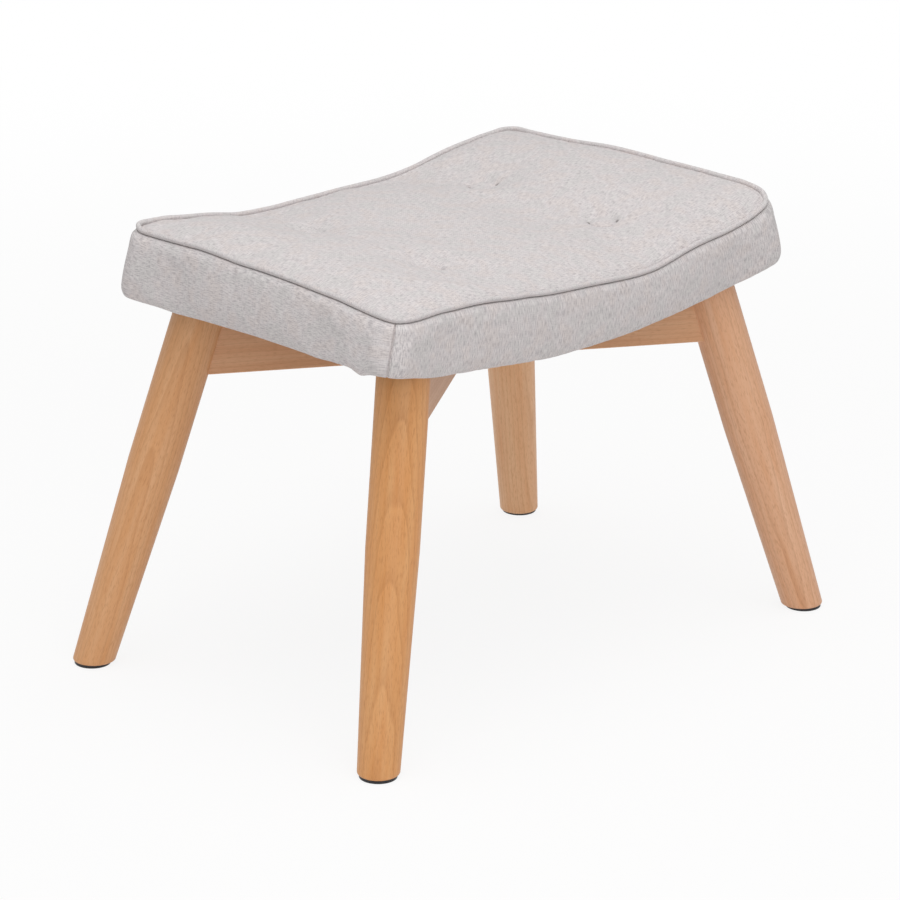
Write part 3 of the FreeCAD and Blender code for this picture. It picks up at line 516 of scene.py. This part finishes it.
# The cover is a light grey linen weave: polyester yarns of slightly different greys, some
# pinkish and some greenish, with slubs that read as short dashes. It is matt with a soft bloom.
def linen(name, slub_along, pinched=()):
    """The linen weave on cloth coordinates in metres.

    slub_along is the share of slubs in the U threads, and pinched the places whose shadow is painted into
    the colour.
    """
    made, tree = material(name)
    place = node(tree, "TexCoord")
    # threads are 0.7 mm apart; drawn at 1.3 mm so that the weave shows at this distance
    pitch = 0.0013
    threads = node(tree, "Mapping", {"Vector": place.outputs["UV"], "Scale": (1 / pitch, 1 / pitch, 1)})
    parts = node(tree, "SeparateXYZ", {0: threads.outputs[0]})
    warp = node(tree, "Math", {0: parts.outputs["X"], 1: math.pi}, operation="MULTIPLY")
    weft = node(tree, "Math", {0: parts.outputs["Y"], 1: math.pi}, operation="MULTIPLY")
    warp_wave = node(tree, "Math", {0: warp.outputs[0]}, operation="SINE")
    weft_wave = node(tree, "Math", {0: weft.outputs[0]}, operation="SINE")
    weave = node(tree, "Math", {0: warp_wave.outputs[0], 1: weft_wave.outputs[0]}, operation="MULTIPLY")
    # slubs: thick places in single yarns, about 1 mm wide and 6 to 10 mm long
    long_u = node(tree, "Mapping", {"Vector": place.outputs["UV"], "Scale": (170, 1250, 1)})
    long_v = node(tree, "Mapping", {"Vector": place.outputs["UV"], "Location": (3.1, 7.7, 0),
                                    "Scale": (1250, 170, 1)})
    slub_u = node(tree, "TexNoise", {"Vector": long_u.outputs[0], "Scale": 1.0, "Detail": 1.5},
                  noise_dimensions="2D")
    slub_v = node(tree, "TexNoise", {"Vector": long_v.outputs[0], "Scale": 1.0, "Detail": 1.5},
                  noise_dimensions="2D")
    slubs = node(tree, "Mix", {0: slub_along, 2: slub_v.outputs[0], 3: slub_u.outputs[0]},
                 data_type="FLOAT")
    # heather: yarns of other greys, in soft patches 15 to 25 mm across
    patch = node(tree, "TexNoise", {"Vector": place.outputs["UV"], "Scale": 48.0, "Detail": 2.0},
                 noise_dimensions="2D")
    tone = node(tree, "ValToRGB", {0: slubs.outputs[0]},
                [(0.34, linear("#b9b3b4")), (0.5, linear("#d2cccc")), (0.68, linear("#dfd9d8"))])
    tint = node(tree, "ValToRGB", {0: patch.outputs[0]},
                [(0.36, linear("#fbfdfc")), (0.5, (1, 1, 1, 1)), (0.64, linear("#fffdfb"))])
    tinted = node(tree, "Mix", {0: 1.0, 6: tone.outputs[0], 7: tint.outputs[0]}, data_type="RGBA",
                  blend_type="MULTIPLY")
    colour = tinted.outputs[2]
    if pinched:
        # the cloth is pulled in hard at these points and lies in its own shadow: the pits cast some of
        # it, and the rest is painted shade, a darker colour mixed in here
        aways = [node(tree, "VectorMath", {0: place.outputs["UV"], 1: (u, y, 0)},
                      operation="DISTANCE") for u, y in pinched]
        near = aways[0].outputs["Value"]
        for away in aways[1:]:
            least = node(tree, "Math", {0: near, 1: away.outputs["Value"]}, operation="MINIMUM")
            near = least.outputs[0]
        deep = node(tree, "MapRange", {0: near, 1: 0.0008, 2: 0.0026, 3: 0.75, 4: 0.0})
        shaded = node(tree, "Mix", {0: deep.outputs[0], 6: colour, 7: linear("#6b6462")},
                      data_type="RGBA")
        colour = shaded.outputs[2]
    low = node(tree, "Math", {0: weave.outputs[0], 1: 0.35}, operation="MULTIPLY")
    high = node(tree, "Math", {0: slubs.outputs[0], 1: low.outputs[0]}, operation="ADD")
    bump = node(tree, "Bump", {"Strength": 0.4, "Distance": 0.0005, "Height": high.outputs[0]})
    body = node(tree, "BsdfPrincipled", {"Base Color": colour, "Roughness": 0.92, "IOR": 1.45,
                                         "Specular IOR Level": 0.25, "Sheen Weight": 0.12,
                                         "Sheen Roughness": 0.6, "Normal": bump.outputs[0]})
    node(tree, "OutputMaterial", {"Surface": body.outputs[0]})
    return made


def settle(piece, held, cap):
    """Lets cloth that is held at some points settle over the padding, none of it further than cap."""
    scene, frames = bpy.context.scene, 12
    start = np.array([v.co for v in piece.data.vertices])
    group = piece.vertex_groups.new(name="held")
    for strength in np.unique(held[held > 0]):
        group.add([int(i) for i in np.flatnonzero(held == strength)], float(strength), "REPLACE")
    cloth = piece.modifiers.new("cloth", "CLOTH")
    cloth.settings.quality = 4
    cloth.settings.mass = 0.35
    cloth.settings.tension_stiffness = cloth.settings.compression_stiffness = 12
    cloth.settings.shear_stiffness = 4
    cloth.settings.bending_stiffness = 0.4
    cloth.settings.vertex_group_mass = "held"
    cloth.settings.shrink_min = -0.012
    cloth.settings.use_pressure = True
    cloth.settings.uniform_pressure_force = 3.0
    cloth.settings.effector_weights.gravity = 0
    for number in range(1, frames + 1):
        scene.frame_set(number)
    settled = piece.evaluated_get(bpy.context.evaluated_depsgraph_get()).to_mesh()
    moved = np.array([v.co for v in settled.vertices]) - start
    length = np.linalg.norm(moved, axis=1)[:, None]
    moved *= np.tanh(length / cap) * cap / np.maximum(length, 1e-9)
    piece.modifiers.remove(cloth)
    scene.frame_set(1)
    piece.data.vertices.foreach_set("co", (start + moved).astype(np.float32).ravel())
    piece.data.update()


def finish_soft(piece, cloth):
    """Gives a soft piece its cloth and one subdivision."""
    piece.data.materials.append(cloth)
    smooth = piece.modifiers.new("fullness", "SUBSURF")
    smooth.levels = smooth.render_levels = 1
    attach(piece, "root")


# The top panel is one piece of cloth, sewn to the boxing all round and drawn down at four tufts.
# It is tucked in along the piping, and creased behind it at the corners.
spacing, rim_blend = 0.0026, 0.010
tuck, tuck_width = 0.0013, 0.0032
crease, crease_run, crease_gap, crease_width = 0.0022, 0.013, 0.0045, 0.0018
seam_hold, tuft_hold, most_settled = 0.003, 0.018, 0.0025
run, across, lift = top_grid(spacing)
rows, columns = run.shape
height = top_height(run, across) - tuft_drop(run, across)
sides = [seam_line(i, spacing) for i in range(4)]
edge = KDTree(sum(len(s[0]) for s in sides))
edge_heights = np.concatenate([s[3] for s in sides])
edge_flat = np.concatenate([np.stack([s[1], s[2]], -1) for s in sides])
for k, (u, y) in enumerate(edge_flat):
    edge.insert((u, y, 0), k)
edge.balance()
gap = np.zeros(run.shape)
miss = np.zeros(run.shape)
to_corner = np.min([np.hypot(run - s[1][0], across - s[2][0]) for s in sides], axis=0)
for i in range(rows):
    for j in range(columns):
        _, k, away = edge.find((run[i, j], across[i, j], 0))
        gap[i, j] = away
        miss[i, j] = edge_heights[k] - top_height(edge_flat[k][0], edge_flat[k][1])
height = height + miss * np.exp(-gap / rim_blend) - tuck * np.exp(-(gap / tuck_width) ** 2)
behind = (gap - crease_gap) / crease_width
height = height - crease * np.exp(-(to_corner / crease_run) ** 2 - behind ** 2)
top = add_object("cover_top", (over(run, across, height) + lift[..., None] * (0, 0, 1)).reshape(-1, 3),
                 [f[::-1] for f in grid_faces(rows, columns)], np.stack([run, across], -1).reshape(-1, 2))
held = np.exp(-(gap / seam_hold) ** 2)
for u, y in tufts.values():
    held = np.maximum(held, np.hypot(run - u, across - y) < tuft_hold)
settle(top, np.round(held.ravel(), 1), most_settled)
finish_soft(top, linen("linen_weave_top", slub_along=0.62, pinched=pinches))
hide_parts("cover_top_panel")

# The boxing is four strips of the same cloth, sewn to each other at the corners and to the top
# panel, then pulled down over the foam and stapled under the board.
boxing_slubs = {"front": 0.2, "right": 0.7, "back": 0.2, "left": 0.7}
side_bulge, roll_bulge = 0.005, 0.003
roll_start, roll_height, roll_run, roll_leave, roll_arrive = 0.74, 0.012, 0.009, 0.0062, 0.0055
upper_fullness, corner_lean, lean_run, turn_under = 0.0022, 0.008, 0.045, 0.018
seam_groove, seam_groove_width, strip_settled, strip_drop = 0.0030, 0.0007, 0.0018, 0.066
# shares of the way down: the shoulder's end, where the lean and the hang are full, where the
# underside lies flat, and where the seam and the staples hold the strip
shoulder_end, lean_full, hang_full, hang_gone, hang_fade = 0.11, 0.78, 0.8, 1.04, 0.16
seam_holds, staples_hold, end_hold = 0.12, 0.92, 0.004
beside_corner = [0.0004, 0.0009, 0.0015, 0.0021]
# from inside the seam, round under the piping, to the strip's shoulder: out and up, in metres
shoulder = np.array([(-3.0, -1.2), (-1.5, -2.7), (0.2, -3.05), (1.5, -3.15), (2.3, -3.7),
                     (2.7, -4.8)]) * 0.001


def side_profile(seam_height, t):
    """The boxing's outline, from the seam at t 0, over the roll, to the underside at 1.

    Gives how far out it stands and how high. The side is a shallow bow, and the roll a cubic curve.
    """
    under = -cover_thickness
    roll_top = under + roll_height
    fall = roll_top - seam_height
    down = np.clip(t / roll_start, 0, 1)
    mid = ((seam_height + under) / 2 - seam_height) / fall
    bow = (side_bulge * (down * (down - 1)) / (mid * (mid - 1))
           + roll_bulge * down * (down - mid) / (1 - mid))
    slope = (side_bulge / (mid * (mid - 1)) + roll_bulge * (2 - mid) / (1 - mid)) / fall
    begin = np.array([roll_bulge, roll_top])
    leave = np.stack(np.broadcast_arrays(roll_bulge - slope * roll_leave, roll_top - roll_leave), -1)
    arrive = np.array([roll_bulge - roll_run + roll_arrive, under])
    end = np.array([roll_bulge - roll_run, under])
    r = np.clip((t - roll_start) / (1 - roll_start), 0, 1)[..., None]
    roll = ((1 - r) ** 3 * begin + 3 * (1 - r) ** 2 * r * leave
            + 3 * (1 - r) * r ** 2 * arrive + r ** 3 * end)
    out = np.where(t <= roll_start, bow, roll[..., 0])
    return out, np.where(t <= roll_start, seam_height + fall * down, roll[..., 1])


for i, side in enumerate(side_names):
    s, u, y, h, out = seam_line(i, spacing, beside_corner)
    share = s / s[-1]
    t = np.concatenate([np.linspace(shoulder_end, 1, 30), [1.25, 1.5, 1.75, 2.0]])
    t_grid, h_grid = np.meshgrid(t, h, indexing="ij")
    reach, level = side_profile(h_grid, np.clip(t_grid, 0, 1))
    reach = reach + upper_fullness * np.exp(-((t_grid - shoulder_end) / 0.16) ** 2)
    to_end = np.minimum(s, s[-1] - s)
    low_part = np.clip(t_grid / lean_full, 0, 1)
    reach = reach + corner_lean * low_part ** 1.3 * np.exp(-(to_end / lean_run) ** 2)[None, :]
    reach = reach - turn_under * np.clip(t_grid - 1, 0, None)
    reach = np.concatenate([shoulder[:, :1] + 0 * s[None, :], reach])
    level = np.concatenate([h[None, :] + shoulder[:, 1:], level])
    t_grid = np.concatenate([np.linspace(0, 0.09, len(shoulder))[:, None] + 0 * s[None, :], t_grid])
    at_seam = np.exp(-(to_end / seam_groove_width) ** 2)[None, :]
    reach = reach - seam_groove * at_seam * np.clip(t_grid / 0.08, 0, 1)
    hang = np.clip(t_grid / hang_full, 0, 1)
    hang = hang * hang * (3 - 2 * hang)
    back_up = np.clip((hang_gone - t_grid) / hang_fade, 0, 1)
    dropped = hang * back_up * back_up * (3 - 2 * back_up)
    rise = ((1 - hang) * uneven(seam_lifts, side, share)[None, :]
            + dropped * uneven(edge_drops, side, share)[None, :])
    points = over(u[None, :] + out[None, :, 0] * reach, y[None, :] + out[None, :, 1] * reach, level)
    points = points + rise[..., None] * (0, 0, 1)
    uv = np.stack(np.broadcast_arrays(s[None, :], -t_grid * strip_drop), -1)
    strip = add_object("cover_boxing_" + side, points.reshape(-1, 3), grid_faces(len(t_grid), len(s)),
                       uv.reshape(-1, 2))
    held = np.where((t_grid < seam_holds) | (t_grid > staples_hold) | (to_end < end_hold)[None, :],
                    1.0, 0.0)
    settle(strip, held.ravel(), strip_settled)
    finish_soft(strip, linen("linen_weave_" + side, boxing_slubs[side]))
    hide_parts("cover_side_" + side)

# The piping is a 5 mm cord in a bias cut strip of the same cloth, sewn into the top seam.
# It runs round the seat without an end.
piping_radius, piping_round, piping_sides = 0.0025, 0.0157, 12
loops = [np.column_stack([u, y, h, out, uneven(seam_lifts, side, s / s[-1])])[:-1]
         for side, (s, u, y, h, out) in zip(side_names, sides)]
loop_u, loop_y, loop_h, out_u, out_y, lifts = np.concatenate(loops).T
lifted = lifts[:, None] * (0, 0, 1)
line = over(loop_u, loop_y, loop_h) + lifted
outer = over(loop_u + out_u * 0.01, loop_y + out_y * 0.01, loop_h) + lifted - line
heading = np.roll(line, -1, 0) - np.roll(line, 1, 0)
heading /= np.linalg.norm(heading, axis=1)[:, None]
outer -= heading * (outer * heading).sum(1)[:, None]
outer /= np.linalg.norm(outer, axis=1)[:, None]
above = np.cross(outer, heading)
above *= np.sign(above[:, 2])[:, None]
angle = np.linspace(0, 2 * math.pi, piping_sides, endpoint=False)
ring = (line[:, None] + piping_radius * (np.cos(angle)[None, :, None] * outer[:, None]
                                         + np.sin(angle)[None, :, None] * above[:, None]))
total = len(line)
index = np.arange(total)[:, None] * piping_sides + np.arange(piping_sides)[None, :]
after = np.roll(index, -1, 0)
faces = np.stack([index, after, np.roll(after, -1, 1), np.roll(index, -1, 1)], -1).reshape(-1, 4)
travel = np.concatenate([[0], np.cumsum(np.linalg.norm(np.diff(line, axis=0), axis=1))])
girth = piping_round * (angle / 2 / math.pi)[None, :]
uv = np.stack([travel[:, None] + girth, girth - travel[:, None]], -1).reshape(-1, 2)
piping = add_object("cover_piping", ring.reshape(-1, 3), faces, uv)
finish_soft(piping, linen("linen_weave_bias", slub_along=0.5))
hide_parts("piping")

# Each tuft button is a domed metal button pressed over with the same cloth. Its twine goes down
# through the foam and the board, and draws it level with the padding.
button_sides, cloth_over = 32, 0.002
turns = np.linspace(0, 2 * math.pi, button_sides, endpoint=False)
ring_r = np.array([0.0, 0.2, 0.4, 0.6, 0.78, 0.90, 0.97, 1.0, 0.985, 0.93, 0.8]) * button_radius
ring_h = np.array([3.7, 3.6, 3.2, 2.6, 1.9, 1.2, 0.6, 0.0, -0.7, -1.4, -2.0]) * 0.001
for corner, (u, y) in tufts.items():
    near = np.unravel_index(np.argmin(np.hypot(run - u, across - y)), run.shape)
    floor_h = float(top_height(np.array(u), np.array(y))) - tuft_depth + float(lift[near])
    points = [over(u, y, floor_h + ring_h[0])]
    flat = [(u, y)]
    for r, h in zip(ring_r[1:], ring_h[1:]):
        cloth_r = r + max(0.0, cloth_over - h)
        for a in turns:
            points.append(over(u + r * math.cos(a), y + r * math.sin(a), floor_h + h))
            flat.append((u + cloth_r * math.cos(a), y + cloth_r * math.sin(a)))
    pairs = [(k, (k + 1) % button_sides) for k in range(button_sides)]
    faces = [(0, 1 + k, 1 + after) for k, after in pairs]
    for base in range(1, 1 + (len(ring_r) - 2) * button_sides, button_sides):
        faces += [(base + k, base + button_sides + k, base + button_sides + after, base + after)
                  for k, after in pairs]
    faces.append(tuple(range(len(points) - button_sides, len(points)))[::-1])
    button = add_object("button_" + corner, points, faces, flat)
    finish_soft(button, linen("linen_weave_button_" + corner, slub_along=0.6))
    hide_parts("tuft_button_" + corner)

# The twines are laid flax, one through each tuft, knotted under the board over a washer. They
# are waxed, which leaves them a dull sheen, and their lay shows as fine bands.
waxed_twine, tree = material("flax_twine_waxed")
place = node(tree, "TexCoord")
lay = node(tree, "TexWave", {"Vector": place.outputs["Object"], "Scale": 420.0, "Distortion": 1.5},
           bands_direction="Z")
shade = node(tree, "ValToRGB", {0: lay.outputs[0]},
             [(0.2, linear("#8c7a5c")), (0.8, linear("#c2b28f"))])
bump = node(tree, "Bump", {"Strength": 0.6, "Distance": 0.0003, "Height": lay.outputs[0]})
body = node(tree, "BsdfPrincipled", {"Base Color": shade.outputs[0], "Roughness": 0.7,
                                     "Normal": bump.outputs[0]})
node(tree, "OutputMaterial", {"Surface": body.outputs[0]})
dress("tuft_twines", waxed_twine)

# The dust cover is black spunbonded polypropylene cloth, stapled flat under the board. It is
# thin and matt, with a fine felted surface.
dust_under, dust_sag, dust_thickness, dust_columns, dust_rows = 0.0018, 0.0006, 0.0004, 121, 81
dust_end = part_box("dust_cover")[1]
half_u, half_y = math.asin(dust_end[0] / bend_radius) * bend_radius, dust_end[1]
p, q = np.meshgrid(np.linspace(-half_u, half_u, dust_columns),
                   np.linspace(-half_y, half_y, dust_rows), indexing="xy")
sheet_h = -dust_under - dust_sag * (1 - (p / half_u) ** 2) * (1 - (q / half_y) ** 2)
dust = add_object("dust_cloth", over(p, q, sheet_h).reshape(-1, 3),
                  grid_faces(dust_rows, dust_columns), np.stack([p, q], -1).reshape(-1, 2))
spunbond, tree = material("polypropylene_cloth_spunbonded")
place = node(tree, "TexCoord")
felt = node(tree, "TexNoise", {"Vector": place.outputs["UV"], "Scale": 700.0, "Detail": 4.0})
shade = node(tree, "ValToRGB", {0: felt.outputs[0]},
             [(0.3, linear("#1b1b1c")), (0.7, linear("#333334"))])
bump = node(tree, "Bump", {"Strength": 0.4, "Distance": 0.0002, "Height": felt.outputs[0]})
body = node(tree, "BsdfPrincipled", {"Base Color": shade.outputs[0], "Roughness": 0.85,
                                     "Normal": bump.outputs[0]})
node(tree, "OutputMaterial", {"Surface": body.outputs[0]})
dust.data.materials.append(spunbond)
thick = dust.modifiers.new("thickness", "SOLIDIFY")
thick.thickness = dust_thickness
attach(dust, "root")
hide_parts("dust_cover")
